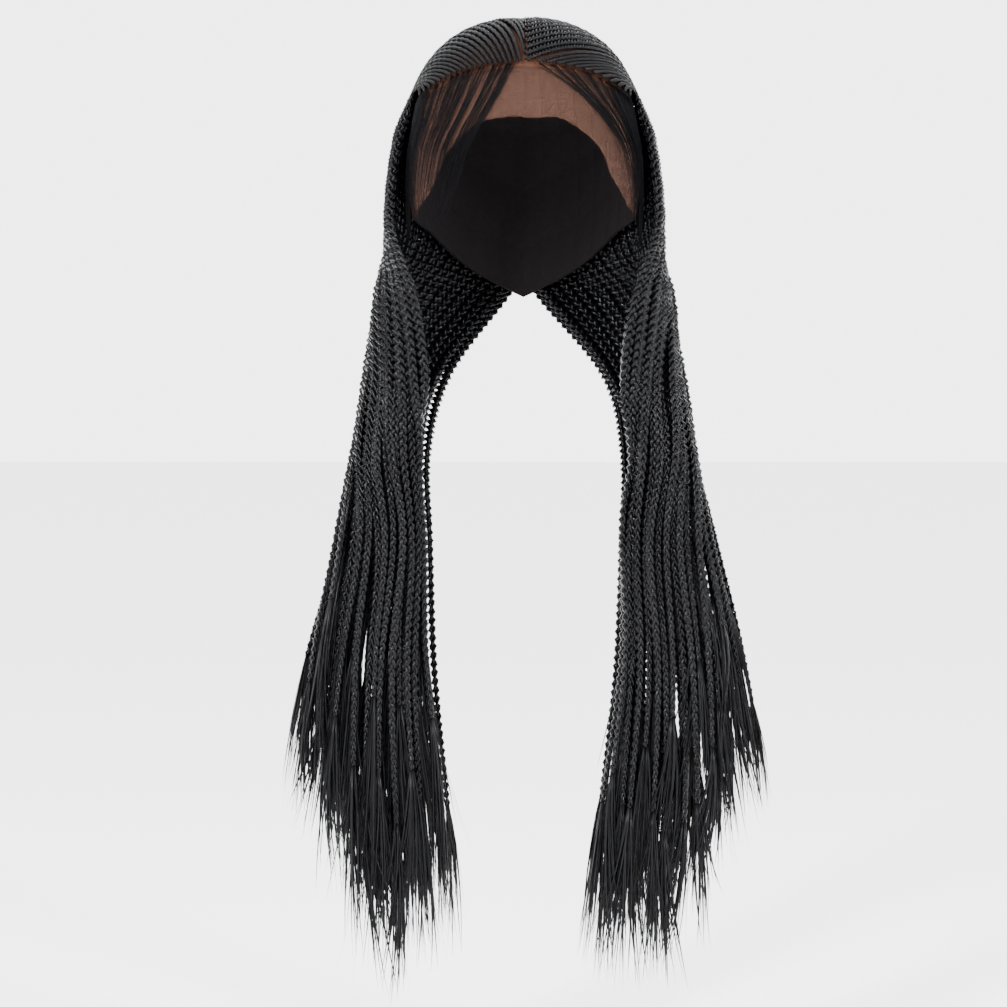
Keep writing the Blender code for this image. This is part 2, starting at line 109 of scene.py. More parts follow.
# Each ring runs from its foremost to its rearmost plait
HEAD_RINGS = (
    dict(azimuth=(79, 179.4), polar=(66, 85), layers=(0.30, 0.30)),
    dict(azimuth=(77, 179.4), polar=(84, 101), layers=(1.3, 0.9)),
    dict(azimuth=(73, 179.4), polar=(103, 116), layers=(2.9, 1.2)),
)
NAPE_RING = dict(side=0.26, half_side=1.01, front=-0.06, half_front=0.90, angles=(42, 187))
CURTAIN_RINGS = (
    dict(drop=0.11, side=0.40, half_side=0.28, front=0.00, half_front=0.72, angles=(5, 192)),
    dict(drop=0.22, side=0.580, half_side=0.150, front=0.34, half_front=0.50, angles=(-50, 236)),
    dict(drop=0.34, side=0.620, half_side=0.190, front=0.70, half_front=0.30, angles=(-78, 257)),
    dict(drop=0.52, side=0.672, half_side=0.265, front=0.80, half_front=0.27, angles=(-78, 258)),
    dict(drop=0.74, side=0.675, half_side=0.350, front=0.83, half_front=0.27, angles=(-78, 258)),
    dict(drop=1.00, side=0.620, half_side=0.350, front=0.84, half_front=0.24, angles=(-78, 258)),
)
WIDEST_RING, OVAL_STEPS = 3, 240
# Columns: how far out a braid hangs, then the shares of the drop at its tie and at its tip
ENDS = {
    "left": np.array(
        [(0.0, 0.68, 0.90), (0.3, 0.69, 0.96), (0.5, 0.67, 0.95), (0.75, 0.57, 0.82), (1.0, 0.50, 0.69)]
    ),
    "right": np.array(
        [(0.0, 0.72, 0.96), (0.3, 0.73, 0.96), (0.5, 0.70, 0.92), (0.75, 0.61, 0.81), (1.0, 0.53, 0.70)]
    ),
}
# Braids of a smaller share than this hang before the ear, those of a larger one behind it
EAR_SHARE = 0.5
print("hair hangs", round(-1000 * (NAPE_LEVEL - CURTAIN_DROP)), "mm below the crown")

# %% [markdown]
# ## Shapes as functions
# A wig maker works on a head block, so the first function is that block: an egg with a
# squarish section. The others are the smooth curves between a few set places, which is how a
# spline tool works too, but written out they serve for thousands of hairs at once.


# %% Small helpers
def between(first, last, share):
    """Straight mix: first + (last - first) share."""
    return first + (last - first) * share


def covered(length, span):
    """How much of a span a length covers, from 0 to 1: length / span, held at both ends."""
    return np.clip(length / span, 0, 1)


def unit(vectors):
    """Vectors divided by their length."""
    return vectors / np.maximum(np.linalg.norm(vectors, axis=-1, keepdims=True), 1e-12)


def mirrored(points, side):
    """Points of the right side, or their mirror image across x = 0 for the left side."""
    return points * np.array([SIDES[side], 1.0, 1.0])


def running_length(path):
    """Length along a path (..., k, 3) from its start to each of its points."""
    steps = np.linalg.norm(np.diff(path, axis=-2), axis=-1)
    return np.concatenate([np.zeros((*steps.shape[:-1], 1)), np.cumsum(steps, axis=-1)], axis=-1)


def square_to(vectors, forward):
    """The part of vectors that stands square to forward, as unit vectors: v - (v . f) f."""
    return unit(vectors - forward * (vectors * forward).sum(-1, keepdims=True))


print("half way from 2 to 6 is", between(2, 6, 0.5))

# %% [markdown]
# ### Smooth curves through tables
# A cubic piece needs only the values and slopes at its two ends, so a whole table of such
# pieces is worked out at once and no spline object has to be made.


# %% Cubic pieces
def cubic(t, start, start_slope, end, end_slope):
    """(1 + 2t)(1 - t)^2 v0 + t (1 - t)^2 m0 + t^2 (3 - 2t) v1 + t^2 (t - 1) m1."""
    return (
        start * (1 + 2 * t) * (1 - t) ** 2
        + start_slope * t * (1 - t) ** 2
        + end * t**2 * (3 - 2 * t)
        + end_slope * t**2 * (t - 1)
    )


def smooth_steps(values, place):
    """Cubic through values[0], values[1], ... at place, with the slope at each value taken from
    its neighbours."""
    last = len(values) - 1
    slopes = np.gradient(values, axis=0)
    place = np.clip(place, 0, last)
    low = np.minimum(place.astype(int), last - 1)
    t = (place - low).reshape(place.shape + (1,) * (values.ndim - 1))
    return cubic(t, values[low], slopes[low], values[low + 1], slopes[low + 1])


def table_value(table, key, column):
    """The same cubic through a table whose first column rises unevenly."""
    keys, values = table[:, 0], table[:, column]
    slopes = np.empty(len(keys))
    slopes[1:-1] = (values[2:] - values[:-2]) / (keys[2:] - keys[:-2])
    slopes[0] = (values[1] - values[0]) / (keys[1] - keys[0])
    slopes[-1] = (values[-1] - values[-2]) / (keys[-1] - keys[-2])
    key = np.clip(key, keys[0], keys[-1])
    low = np.clip(np.searchsorted(keys, key) - 1, 0, len(keys) - 2)
    width = keys[low + 1] - keys[low]
    t = (key - keys[low]) / width
    return cubic(t, values[low], slopes[low] * width, values[low + 1], slopes[low + 1] * width)


print("cap edge in front at", table_value(HEAD_EDGES, 0.0, 1), "degrees from the crown")

# %% [markdown]
# ### The head block
# Azimuth is counted from the front of the head and the polar angle from its crown, so that a
# hairline or a nape is a short table of angles.


# %% Points over the head
def head_point(azimuth, polar, lift):
    """Point over the head: radius sin(polar)^(2/n), height cos(polar)^(2/n), taller below the
    widest level than above it, moved out along the surface's normal by lift."""
    azimuth, polar, lift = np.broadcast_arrays(azimuth, polar, lift)
    power = 2 / HEAD_SQUARENESS
    turn, tilt = np.radians(azimuth), np.radians(polar)
    radius = np.maximum(np.sin(tilt), 1e-9) ** power
    rise = np.sign(np.cos(tilt)) * np.abs(np.cos(tilt)) ** power
    height = np.where(tilt <= np.pi / 2, CROWN_HEIGHT, NAPE_HEIGHT)
    across, along = radius * np.sin(turn), -radius * np.cos(turn)
    flare = np.maximum(radius, 1e-6) ** (HEAD_SQUARENESS - 2)
    normal = np.stack(
        [
            across * flare / HEAD_HALF_WIDTH,
            along * flare / HEAD_HALF_LENGTH,
            np.sign(rise) * np.abs(rise) ** (HEAD_SQUARENESS - 1) / height,
        ],
        axis=-1,
    )
    normal /= np.linalg.norm(normal, axis=-1, keepdims=True)
    place = [HEAD_HALF_WIDTH * across, HEAD_HALF_LENGTH * along, height * rise - CROWN_HEIGHT]
    return np.stack(place, axis=-1) + normal * lift[..., None]


def head_over(way, lift):
    """Point over the head in the direction way from its middle, so that a path can cross the crown."""
    way = way / np.linalg.norm(way, axis=-1, keepdims=True)
    polar = np.degrees(np.arccos(np.clip(way[..., 2], -1, 1)))
    azimuth = np.degrees(np.arctan2(way[..., 0], -way[..., 1]))
    return head_point(azimuth, polar, lift)


def direction_of(azimuth, polar):
    """Direction from the head's middle: (sin polar sin azimuth, -sin polar cos azimuth, cos polar)."""
    turn, tilt = np.radians(azimuth), np.radians(polar)
    across, along = np.sin(tilt) * np.sin(turn), -np.sin(tilt) * np.cos(turn)
    return np.stack([across, along, np.cos(tilt) + 0 * turn], axis=-1)


def degrees_for(length):
    """Angle that a length takes up on the head, at the radius of its crown."""
    return math.degrees(length / CROWN_HEIGHT)


def edge_polar(azimuth, name):
    """Polar angle of the lower edge of the cap or the lace."""
    return table_value(HEAD_EDGES, np.abs(azimuth), 1 if name == "cap" else 2)


print("crown at", head_point(0.0, 0.0, 0.0).round(4))

# %% [markdown]
# ## Where each plait runs
# A cornrow is plaited along the scalp from the hairline or from the parting, and leaves the
# head at the drop line behind the ear, where it hangs. One number, the share from the temple
# to the nape, names a plait on its whole way, so neighbours never cross.

# %% Sizes of the rows on the head
HAIRLINE_MARGIN, PARTING_GAP, PARTING_BACK = 0.0008, 0.0008, 66.0
# Rows up to this share start at the hairline, those after it at the parting
FRONT_ROW_SHARE = {"left": 0.62, "right": 0.36}
FRONT_ROW_FIRST, FRONT_ROW_LAST = 70, {"left": 1.2, "right": 3.0}
FRONT_ROW_CROWDING, PARTING_CROWDING = {"left": 0.8, "right": 1.0}, {"left": 0.95, "right": 1.2}
# The control direction of a row mixes the straight way with one over the side of the head
STRAIGHT_WAY, SIDE_WAY = 0.7, 0.3
SIDE_AZIMUTH, SIDE_POLAR = (60, 120), 48
NAPE_TURN, NAPE_TURN_FROM, NAPE_TURN_SPAN = 56, 0.7, 0.3
LEAD_WEIGHT = {"left": 0.92, "right": 0.0}
LEAD_BACK, LEAD_ASIDE = 0.25, 0.06
print("rows from the hairline:", FRONT_ROW_SHARE)

# %% [markdown]
# ### Rows over the head
# A row needs only its first and its last direction, and one in between that bends it.


# %% Paths on the head
def row_start(share, side):
    """Direction in which a row starts: along the hairline first, then back along the parting."""
    front = FRONT_ROW_SHARE[side]
    margin = degrees_for(HAIRLINE_MARGIN)
    along = np.clip(share / front, 0, 1) ** FRONT_ROW_CROWDING[side]
    azimuth = between(FRONT_ROW_FIRST, FRONT_ROW_LAST[side], along)
    hairline = direction_of(azimuth, edge_polar(azimuth, "cap") - margin)
    first = -(edge_polar(np.array(0.0), "cap") - margin)
    behind = np.clip((share - front) / (1 - front), 0, 1) ** PARTING_CROWDING[side]
    tilt = np.radians(between(first, PARTING_BACK, behind))
    aside = PARTING_GAP / 2 / HEAD_HALF_WIDTH
    parting = np.stack([aside + 0 * tilt, np.sin(tilt), np.cos(tilt)], axis=-1)
    return np.where((share < front)[..., None], hairline, parting)


def row_direction(share, along, side):
    """Curve with one control direction: (1 - t)^2 first + 2t(1 - t) middle + t^2 last. Where
    LEAD_WEIGHT isn't 0 the middle is led back over the crown, and fully so from the row next to
    the parting on."""
    ring = HEAD_RINGS[0]
    azimuth, polar = between(*ring["azimuth"], share), between(*ring["polar"], share)
    first = row_start(share, side)
    first = first / np.linalg.norm(first, axis=-1, keepdims=True)
    last = direction_of(azimuth, polar - degrees_for(CLEARANCE + 0.5 * SEAT_GAP))
    middle = first + last
    middle = middle / np.linalg.norm(middle, axis=-1, keepdims=True) * STRAIGHT_WAY
    turned = between(*SIDE_AZIMUTH, share) + NAPE_TURN * covered(share - NAPE_TURN_FROM, NAPE_TURN_SPAN)
    middle = middle + SIDE_WAY * direction_of(turned, SIDE_POLAR + 0 * share)
    front = FRONT_ROW_SHARE[side]
    nearness = covered(share, front)[..., None]
    behind = covered(share - front, 1 - front)
    back = np.array([0.0, LEAD_BACK, 0.0]) * (1 - behind)[..., None]
    lead = unit((first + last) * np.array([0.0, 1.0, 1.0]) + back)
    lead[..., 0] = between(LEAD_ASIDE, 0.0, behind) + first[..., 0]
    middle = between(middle, lead, LEAD_WEIGHT[side] * nearness**2 * (3 - 2 * nearness))
    t = along[..., None]
    return first * (1 - t) ** 2 + middle * (2 * t * (1 - t)) + last * t**2


print("the first row starts towards", row_start(np.array([0.0]), "right")[0].round(3))

# %% [markdown]
# ### Below the drop line
# Hanging hair forms a flat bundle, so each level has a flattened oval, and every plait keeps its
# share of the oval's length. A smooth curve through its places on all levels is its path.


# %% Rings and hanging paths
def ring_points(share):
    """Each ring's point for every share, by running length along its flattened oval."""
    found = []
    for ring in HEAD_RINGS:
        lift = CAP_WALL + SEAT_GAP + between(*ring["layers"], share) * BRAID_THICKNESS
        found.append(head_point(between(*ring["azimuth"], share), between(*ring["polar"], share), lift))
    ovals = [(NAPE_RING, HEAD_HALF_WIDTH, HEAD_HALF_LENGTH, NAPE_LEVEL)]
    for ring in CURTAIN_RINGS:
        ovals.append((ring, CURTAIN_REACH, CURTAIN_FRONT, NAPE_LEVEL - ring["drop"] * CURTAIN_DROP))
    for ring, wide, deep, level in ovals:
        angles = np.radians(np.linspace(*ring["angles"], OVAL_STEPS + 1))
        middle = (angles[1:] + angles[:-1]) / 2
        step = np.hypot(ring["half_side"] * wide * np.cos(middle), ring["half_front"] * deep * np.sin(middle))
        length = np.concatenate([[0], np.cumsum(step)])
        angle = np.interp(share * length[-1], length, angles)
        across = ring["side"] * wide + ring["half_side"] * wide * np.sin(angle)
        along = -ring["front"] * deep - ring["half_front"] * deep * np.cos(angle)
        found.append(np.stack([across, along, level + 0 * angle], axis=-1))
    return np.stack(found)


def hanging_point(rings, place):
    """Point at place along the rings, for each plait: place has a row for each plait."""
    last = len(rings) - 1
    slopes = np.gradient(rings, axis=0)
    place = np.clip(place, 0, last)
    low = np.minimum(place.astype(int), last - 1)
    who = np.arange(rings.shape[1])[:, None]
    ends = rings[low, who], slopes[low, who], rings[low + 1, who], slopes[low + 1, who]
    return cubic((place - low)[..., None], *ends)


def place_at_height(rings, height):
    """Place along its rings where each plait reaches a height, found by halving the way below
    the head thirty times."""
    low, high = np.full(len(height), len(HEAD_RINGS) - 1.0), np.full(len(height), len(rings) - 1.0)
    for _ in range(30):
        middle = (low + high) / 2
        above = hanging_point(rings, middle[:, None])[:, 0, 2] > height
        low, high = np.where(above, middle, low), np.where(above, high, middle)
    return low


def outwardness(share):
    """How far out a plait hangs at the widest ring: 0 at its inner side, 1 at its outer side."""
    ring = CURTAIN_RINGS[WIDEST_RING]
    across = ring_points(share)[len(HEAD_RINGS) + 1 + WIDEST_RING][:, 0] / CURTAIN_REACH
    return (across - (ring["side"] - ring["half_side"])) / (2 * ring["half_side"])


print("rings:", len(ring_points(np.array([0.5]))))

# %% [markdown]
# ## From arrays to meshes
# Each strand is a tube: its path, a direction to the side and one outwards, and its half
# width and half depth. All strands of a piece go into one mesh, written with foreach_set,
# which takes whole arrays. The map of each strand is in metres, so that the fibres of the
# material keep their real scale.

# %% Tubes
MAP_SHIFT = 0.0137  # metres between the maps of two strands, so that no two look alike


def tubes(path, aside, outward, half_width, half_depth, sides):
    """Closed tubes along paths (m, k, 3): centre + aside w cos(angle) + outward d sin(angle),
    with aside x outward pointing along the path. Returns points, faces and their map."""
    m, k = path.shape[:2]
    angle = 2 * np.pi * np.arange(sides) / sides
    half_width, half_depth = (np.broadcast_to(x, (m, k))[..., None, None] for x in (half_width, half_depth))
    points = (
        path[:, :, None]
        + aside[:, :, None] * half_width * np.cos(angle)[:, None]
        + outward[:, :, None] * half_depth * np.sin(angle)[:, None]
    ).reshape(-1, 3)
    start = (np.arange(m) * k * sides)[:, None, None]
    row = start + (np.arange(k - 1) * sides)[None, :, None]
    here, there = np.arange(sides), (np.arange(sides) + 1) % sides
    quads = np.stack([row + here, row + there, row + sides + there, row + sides + here], -1)
    first = start[:, 0] + here[::-1]
    last = start[:, 0] + (k - 1) * sides + here
    girth = np.broadcast_to(np.pi * (half_width + half_depth)[..., 0, 0], (m, k))
    around = np.arange(sides + 1) / sides
    v = around[None, None, :] * girth[..., None]
    u = np.broadcast_to(running_length(path)[..., None], v.shape)
    chart = np.stack([v, u], axis=-1) + np.arange(m)[:, None, None, None] * MAP_SHIFT
    corners = np.stack([chart[:, :-1, :-1], chart[:, :-1, 1:], chart[:, 1:, 1:], chart[:, 1:, :-1]], axis=-2)
    return dict(
        points=points,
        quads=quads.reshape(-1, 4),
        quad_map=corners.reshape(-1, 2),
        caps=np.concatenate([first, last]).reshape(-1, sides),
        cap_map=np.concatenate([chart[:, 0, :-1][:, ::-1], chart[:, -1, :-1]]).reshape(-1, 2),
    )


# %% [markdown]
# ### One mesh for each piece
# Thousands of strands as thousands of objects would be slow, so a piece is one mesh. Its
# triangles are counted, because the whole wig has to stay under a million.

# %% Meshes
made_triangles = {}


def mesh_piece(name, parts, finish):
    """One object from parts made by tubes(): quads first, then caps, with one map for all."""
    starts = np.cumsum([0] + [len(part["points"]) for part in parts])
    faces, sizes, charts = [], [], []
    for part, start in zip(parts, starts[:-1], strict=True):
        for kind in ("quad", "cap"):
            shape = part[kind + "s"]
            faces.append((shape + start).reshape(-1))
            sizes.append(np.full(len(shape), shape.shape[1]))
            charts.append(part[kind + "_map"])
    faces, sizes, charts = (np.concatenate(x) for x in (faces, sizes, charts))
    points = np.concatenate([part["points"] for part in parts])
    mesh = bpy.data.meshes.new(name)
    mesh.vertices.add(starts[-1])
    mesh.vertices.foreach_set("co", points.astype(np.float32).ravel())
    mesh.loops.add(len(faces))
    mesh.loops.foreach_set("vertex_index", faces.astype(np.int32))
    mesh.polygons.add(len(sizes))
    mesh.polygons.foreach_set("loop_start", (np.cumsum(sizes) - sizes).astype(np.int32))
    mesh.polygons.foreach_set("use_smooth", np.ones(len(sizes), dtype=bool))
    layer = mesh.uv_layers.new(name="strand_map")
    mesh.update(calc_edges=True)
    layer.data.foreach_set("uv", charts.astype(np.float32).ravel())
    mesh.validate()
    mesh.materials.append(finish)
    made_triangles[name] = int((sizes - 2).sum())
    print(name, "has", made_triangles[name], "triangles of", sum(made_triangles.values()))
    return add_object(name, mesh)


# %% [markdown]
# ## Finishes
# A material is a small tree of nodes. One function turns hex colours into light, one adds a
# node, and the others are the few groups of nodes that two finishes share.

# %% Colours and nodes
RELIEF_DEPTH = 0.0003


def linear(hex_colour):
    """An sRGB colour in hex to linear light, as (r, g, b, 1)."""
    values = [int(hex_colour[i : i + 2], 16) / 255 for i in (1, 3, 5)]
    return (*[v / 12.92 if v <= 0.04045 else ((v + 0.055) / 1.055) ** 2.4 for v in values], 1.0)


def node(tree, kind, settings=None, links=None):
    """Adds a node; settings are its properties or sockets by name, links go from sockets to its inputs."""
    made = tree.nodes.new(kind)
    for name, value in (settings or {}).items():
        if name in made.inputs:
            made.inputs[name].default_value = value
        else:
            setattr(made, name, value)
    for name, source in (links or {}).items():
        tree.links.new(source, made.inputs[name])
    return made


def new_finish(name, roughness, specular, colour):
    """A plain material, with its tree and its shader for more nodes."""
    finish = bpy.data.materials.new(name)
    finish.use_nodes = True
    shader = finish.node_tree.nodes["Principled BSDF"]
    shader.inputs["Base Color"].default_value = linear(colour)
    shader.inputs["Roughness"].default_value = roughness
    shader.inputs["Specular IOR Level"].default_value = specular
    return finish, finish.node_tree, shader


def add_relief(tree, shader, strength, height):
    """Bump on the shader from a socket that gives the height."""
    settings = {"Strength": strength, "Distance": RELIEF_DEPTH}
    relief = node(tree, "ShaderNodeBump", settings, {"Height": height})
    tree.links.new(relief.outputs["Normal"], shader.inputs["Normal"])


def mapped(tree, value, given, wanted):
    """A socket with value carried from the range given to the range wanted, held at its ends."""
    settings = {"From Min": given[0], "From Max": given[1], "To Min": wanted[0], "To Max": wanted[1]}
    return node(tree, "ShaderNodeMapRange", settings, {"Value": value}).outputs["Result"]


def net_threads(tree, place, cells_a_metre):
    """A socket with the distance to the nearest thread of a net."""
    settings = {"Scale": cells_a_metre, "feature": "DISTANCE_TO_EDGE"}
    return node(tree, "ShaderNodeTexVoronoi", settings, {"Vector": place}).outputs["Distance"]


print("black hair in linear light:", [round(part, 4) for part in linear("#08080a")])

# %% [markdown]
# ### Modacrylic braiding fibre
# Braiding hair is modacrylic fibre: near black, cool, with a soft sheen in streaks. Its single
# fibres are 0.05 mm, too fine to show, so they are drawn as bundles 0.25 mm wide in the plaits
# and wider in the loose hair.

# %% Modacrylic braiding fibre
FIBRE_COLOUR, STREAK_COLOURS, STREAK_STOPS = "#08080a", ("#020203", "#08080b"), (0.35, 0.72)
STREAKS_ALONG = 120.0


def braiding_fibre(name, roughness, specular, bump, streaks_a_metre):
    """Fibre streaks run along the strand map's second axis, and tone drifts a little on the way."""
    finish, tree, shader = new_finish(name, roughness, specular, FIBRE_COLOUR)
    chart = node(tree, "ShaderNodeUVMap", {"uv_map": "strand_map"})
    scale = {"Scale": (streaks_a_metre, STREAKS_ALONG, 1.0)}
    stretched = node(tree, "ShaderNodeMapping", scale, {"Vector": chart.outputs["UV"]})
    settings = {"Scale": 1.0, "Detail": 2.0}
    streaks = node(tree, "ShaderNodeTexNoise", settings, {"Vector": stretched.outputs["Vector"]})
    tone = node(tree, "ShaderNodeValToRGB", links={"Fac": streaks.outputs["Fac"]})
    for stop, place, colour in zip(tone.color_ramp.elements, STREAK_STOPS, STREAK_COLOURS, strict=True):
        stop.position, stop.color = place, linear(colour)
    tree.links.new(tone.outputs["Color"], shader.inputs["Base Color"])
    add_relief(tree, shader, bump, streaks.outputs["Fac"])
    return finish


plait_fibre = braiding_fibre("modacrylic_plait", 0.21, 0.10, 0.30, 4000.0)
loose_fibre = braiding_fibre("modacrylic_loose", 0.32, 0.11, 0.6, 1500.0)
sheer_fibre = braiding_fibre("modacrylic_sheer", 0.45, 0.04, 0.2, 4000.0)
print("finishes:", plait_fibre.name, loose_fibre.name, sheer_fibre.name)

# %% [markdown]
# ## Three-strand plaits
# In a plait each strand swings from side to side once a turn, and goes over one neighbour and
# under the other, twice as fast. So strand k lies at (a sin p, b sin 2p) with p a third of a
# turn apart. Curves with a bevel would do it too, but arrays make thousands of turns quickly.

# %% Sizes of a plait
ROWS_PER_SIDE, UNDER_PLAITS = 34, 22
PLAIT_HALF_WIDTH, PLAIT_HALF_DEPTH = 0.0032, 0.0025
STRAND_SWING, STRAND_RISE, STRAND_SIZE = 0.52, 0.62, 0.47
TURN_HANGING, TURN_ON_HEAD = 0.0185, 0.0100
STEPS_PER_TURN, FEWEST_STEPS, STRAND_SIDES = 7, 4, {"cornrow": 4, "side": 5, "back": 5}
# Layers: rows lie at two heights by turns, and under-plaits lie below them at 0
ROW_LAYERS, UNDER_LAYER = (0.6, 1.0), -0.6
LAYER_ON_HEAD, LAYER_BELOW = 0.0014, 0.0036
SEAT_DEPTH, ROW_RISE = 0.6, 0.0002
print("hanging plaits a side:", ROWS_PER_SIDE + UNDER_PLAITS)

# %% [markdown]
# ### One plait
# The strands have a point at every even share of a turn, so tight and long turns look alike.


# %% One plait
def plait(path, outward, width, turn_length, sides):
    """Three strands along one path: strand k at side a sin p + out b sin 2p, p a third apart."""
    run = running_length(path)
    turns = np.concatenate([[0], np.cumsum(np.diff(run) / ((turn_length[1:] + turn_length[:-1]) / 2))])
    at = np.linspace(0, turns[-1], max(int(turns[-1] * STEPS_PER_TURN), FEWEST_STEPS) + 1)
    centre, out = (
        np.stack([np.interp(at, turns, x[:, i]) for i in range(3)], axis=1) for x in (path, outward)
    )
    size = np.interp(at, turns, width)
    forward = unit(np.gradient(centre, axis=0))
    out = square_to(out, forward)
    side = np.cross(out, forward)
    phase = 2 * np.pi * (at[None] + np.arange(3)[:, None] / 3)
    swing = STRAND_SWING * PLAIT_HALF_WIDTH * size * np.sin(phase)
    rise = STRAND_RISE * PLAIT_HALF_DEPTH * size * np.sin(2 * phase)
    strands = centre[None] + side[None] * swing[..., None] + out[None] * rise[..., None]
    ways = np.broadcast_to(side, strands.shape), np.broadcast_to(out, strands.shape)
    half_width, half_depth = STRAND_SIZE * PLAIT_HALF_WIDTH * size, STRAND_SIZE * PLAIT_HALF_DEPTH * size
    return tubes(strands, *ways, half_width, half_depth, sides)


# %% [markdown]
# ### Paths of all plaits of a side
# Every plait follows its share over the head and down the rings. Hair is never even, so each
# path drifts a little, and every third braid and all those below end higher than their
# neighbours. The pitch, the room between two neighbours, comes from the paths themselves.

# %% Paths of the plaits of one side
STEPS_ON_HEAD, STEPS_HANGING, HANG_START = 40, 150, 0.16
SHORT_THIRD, SHORT_UNDER, END_STAGGER, TIP_STAGGER = 0.10, 0.12, 0.040, 0.7
SHARE_STEP, SMOOTHINGS, PLAIT_SEED = 0.2, 6, {"left": 11, "right": 12}
LAYERS_PART = (2, 2.5)  # the ring from which layers spread, and over how many rings they do
DRIFT = 0.0016
OUTWARD_DRIFT = dict(waves=8, start=1.5, span=3)
ASIDE_DRIFT = dict(waves=6, start=2, span=3)


def drift(dice, count, places, waves, start, span):
    """Smooth random offsets for each plait, growing from the ring start over span rings."""
    knots = dice.normal(0, 1, (waves + 1, count))
    wander = smooth_steps(knots, np.linspace(0, waves, STEPS_HANGING)).T
    return DRIFT * wander * covered(places - start, span)


def whole_path(share, layer, tie, side):
    """Paths on the head and below it for the right side, and the places along the rings."""
    along = np.linspace(0, 1, STEPS_ON_HEAD)[None, :]
    grow = along**2 * (3 - 2 * along)
    seat = CAP_WALL + SEAT_GAP + SEAT_DEPTH * PLAIT_HALF_DEPTH
    lift = seat + CLEARANCE + grow * (ROW_RISE + layer[:, None] * LAYER_ON_HEAD)
    way = row_direction(share[:, None] + 0 * along, along + 0 * share[:, None], side)
    places = HANG_START + (tie[:, None] - HANG_START) * np.linspace(0, 1, STEPS_HANGING)[None, :]
    below = hanging_point(ring_points(share), places)
    return np.concatenate([head_over(way, lift), below], axis=1), places


def plait_paths(side):
    """Paths (plaits, steps, 3) with outward directions and pitch, and where they are tied."""
    dice = np.random.default_rng(PLAIT_SEED[side])
    count = ROWS_PER_SIDE + UNDER_PLAITS
    row_share = (np.arange(ROWS_PER_SIDE) + 0.5) / ROWS_PER_SIDE
    under_share = (np.arange(UNDER_PLAITS) + 0.5) / UNDER_PLAITS
    share = np.concatenate([row_share, under_share])
    layer = np.concatenate([np.array(ROW_LAYERS)[np.arange(ROWS_PER_SIDE) % 2], np.zeros(UNDER_PLAITS)])
    rings = ring_points(share)
    out_share = outwardness(share)
    short = np.where(np.arange(count) % 3 == 1, -SHORT_THIRD, 0.0) - SHORT_UNDER * (layer == 0)
    stagger = short + END_STAGGER * dice.uniform(-1, 1, count)
    tie_end = table_value(ENDS[side], out_share, 1) + stagger
    tip_end = table_value(ENDS[side], out_share, 2) + stagger * TIP_STAGGER
    tie, tip = (place_at_height(rings, NAPE_LEVEL - end * CURTAIN_DROP) for end in (tie_end, tip_end))
    path, places = whole_path(share, layer, tie, side)
    step = SHARE_STEP / count
    after, before = (whole_path(share + way * step, layer, tie, side)[0] for way in (1, -1))
    path, aside = mirrored(path, side), mirrored((after - before) / (2 * step), side)
    forward = unit(np.gradient(path, axis=1))
    outward = unit(np.cross(forward, aside)) * SIDES[side]
    pitch = np.linalg.norm(np.cross(forward, aside), axis=-1) / ROWS_PER_SIDE
    parted = covered(places - LAYERS_PART[0], LAYERS_PART[1])
    push = LAYER_ON_HEAD * np.where(layer == 0, UNDER_LAYER, layer)[:, None] * (1 - parted)
    push = push + LAYER_BELOW * (2 * layer[:, None] - 1) * parted
    push = push + drift(dice, count, places, **OUTWARD_DRIFT)
    path[:, STEPS_ON_HEAD:] += outward[:, STEPS_ON_HEAD:] * push[..., None]
    sway = drift(dice, count, places, **ASIDE_DRIFT)
    path[:, STEPS_ON_HEAD:] += unit(aside)[:, STEPS_ON_HEAD:] * sway[..., None]
    for _ in range(SMOOTHINGS):
        path[:, 1:-1] = 0.25 * path[:, :-2] + 0.5 * path[:, 1:-1] + 0.25 * path[:, 2:]
    return dict(path=path, outward=outward, pitch=pitch, tie=tie, tip=tip, rings=rings, share=share)


plaits = {side: plait_paths(side) for side in SIDES}
print("paths a side:", plaits["left"]["path"].shape)

# %% [markdown]
# ## Cornrows and hanging braids
# The same plait is tighter on the scalp, where it starts fine and grows as hair is fed in, and
# longer in its turns once it hangs. The rows on the head are one piece a side. The hanging
# part is two, one before and one behind the ear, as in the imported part.

# %% Width and turns of a plait along its way
ROOM_LIMITS, ROOT_WIDTH, FEED_LENGTH = (0.42, 0.95), {"hairline": 0.45, "parting": 0.65}, 0.030
LEAVE_AHEAD, LEAVE_LENGTH = 0.01, 0.03
END_WIDTH, THINNING_LENGTH = 0.70, 0.40
SWELL, SWELL_RISE, SWELL_END, SWELL_FALL = 0.42, 0.02, 2.6, 0.12
TIGHT_AT_LEAST, TIGHT_BY_WIDTH = 0.55, 0.45
SLACK_AHEAD, SLACK_LENGTH = 0.02, 0.05


def plait_form(run, pitch, root):
    """Width and length of a turn along one plait: as wide as its room on the head, full and
    swollen once it has left, a little thinner at its end; turns tight first, then long."""
    left = run - run[STEPS_ON_HEAD]
    room = np.clip(pitch / (2 * PLAIT_HALF_WIDTH), *ROOM_LIMITS)
    leaving = covered(left + LEAVE_AHEAD, LEAVE_LENGTH)
    width = np.minimum(room, ROOT_WIDTH[root] + run / FEED_LENGTH) * (1 - leaving) + leaving
    width = width * np.clip(END_WIDTH + (run[-1] - run) / THINNING_LENGTH, 0, 1)
    width = width * (1 + SWELL * covered(left, SWELL_RISE) * np.clip(SWELL_END - left / SWELL_FALL, 0, 1))
    tight = TURN_ON_HEAD * (TIGHT_AT_LEAST + TIGHT_BY_WIDTH * np.minimum(width, 1))
    turn = tight + (TURN_HANGING - tight) * covered(left + SLACK_AHEAD, SLACK_LENGTH)
    return width, turn


